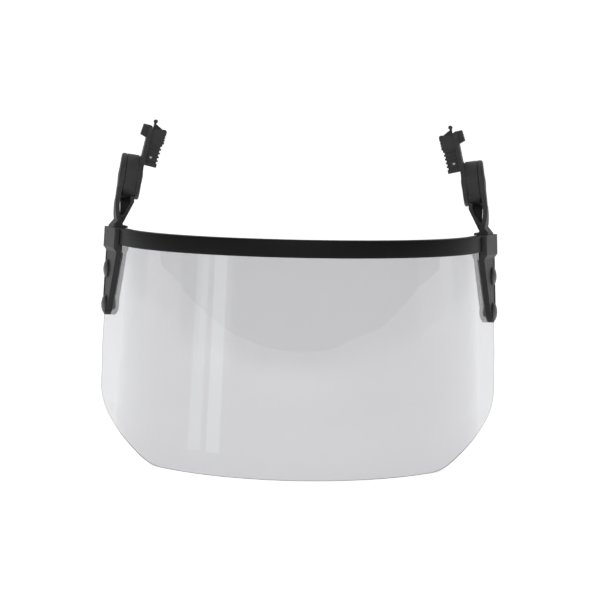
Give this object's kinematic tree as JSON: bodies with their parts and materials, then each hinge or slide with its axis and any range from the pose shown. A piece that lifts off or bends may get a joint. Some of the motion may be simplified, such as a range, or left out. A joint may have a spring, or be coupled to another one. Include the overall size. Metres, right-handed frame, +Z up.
{
  "type": "face shield",
  "caption": "Clear wrap-round visor in a black brow bar, with riveted side brackets and turning arms whose slot clips plug into a safety helmet.",
  "frame": {"origin": "under the middle of the whole shield, level with the lens's bottom edge", "axes": "+Z up, -Y the way the wearer looks, +X to the wearer's left"},
  "size_m": [0.3086, 0.1576, 0.2496],
  "materials": {
    "clear_polycarbonate": "clear, polished",
    "soft_black_profile": "satin extruded",
    "black_nylon": "moulded, fine spark texture",
    "rivet_plastic": "moulded satin",
    "natural_nylon": "moulded, uncoloured",
    "zinc_steel": "zinc plated",
    "spring_steel": "drawn wire"
  },
  "bodies": {
    "visor": {"lens": "clear_polycarbonate", "brow_bar": "soft_black_profile", "left_side_bracket": "black_nylon", "left_backing_strip": "natural_nylon", "left_upper_rivet": "rivet_plastic", "left_lower_rivet": "rivet_plastic", "left_rivet_caps": "natural_nylon", "left_pivot_arm": "black_nylon", "left_detent_ring": "black_nylon", "left_pivot_screw": "zinc_steel", "left_pivot_nut": "zinc_steel", "left_pivot_washer": "zinc_steel", "left_arm_cap": "black_nylon", "right_side_bracket": "black_nylon", "right_backing_strip": "natural_nylon", "right_upper_rivet": "rivet_plastic", "right_lower_rivet": "rivet_plastic", "right_rivet_caps": "natural_nylon", "right_pivot_arm": "black_nylon", "right_detent_ring": "black_nylon", "right_pivot_screw": "zinc_steel", "right_pivot_nut": "zinc_steel", "right_pivot_washer": "zinc_steel", "right_arm_cap": "black_nylon"},
    "left_clip": {"left_slot_clip": "black_nylon", "left_grip_block": "black_nylon", "left_latch_pin": "zinc_steel", "left_latch_spring": "spring_steel", "left_detent_ball": "zinc_steel", "left_detent_spring": "spring_steel"},
    "left_latch": {"left_release_latch": "black_nylon"},
    "right_clip": {"right_slot_clip": "black_nylon", "right_grip_block": "black_nylon", "right_latch_pin": "zinc_steel", "right_latch_spring": "spring_steel", "right_detent_ball": "zinc_steel", "right_detent_spring": "spring_steel"},
    "right_latch": {"right_release_latch": "black_nylon"}
  },
  "joints": [
    {"name": "left_pivot", "type": "hinge", "parent": "visor", "child": "left_clip", "pos_m": [0.13648, 0.06023, 0.2064], "axis": [0.9806, -0.1378, 0.1392], "range_deg": [0, 105]},
    {"name": "left_release", "type": "hinge", "parent": "left_clip", "child": "left_latch", "pos_m": [0.11719, 0.06295, 0.22068], "axis": [-0.1392, -0.9903, 0], "range_deg": [0, 4], "stiffness_Nm_per_rad": 0.05, "springref_deg": -17.19},
    {"name": "right_pivot", "type": "hinge", "parent": "visor", "child": "right_clip", "pos_m": [-0.13648, 0.06023, 0.2064], "axis": [0.9806, 0.1378, -0.1392], "range_deg": [0, 105]},
    {"name": "right_release", "type": "hinge", "parent": "right_clip", "child": "right_latch", "pos_m": [-0.11719, 0.06295, 0.22068], "axis": [-0.1392, 0.9903, 0], "range_deg": [0, 4], "stiffness_Nm_per_rad": 0.05, "springref_deg": -17.19}
  ],
  "couplings": [
    {"joint": "right_pivot", "follows": "left_pivot", "ratio": 1}
  ]
}
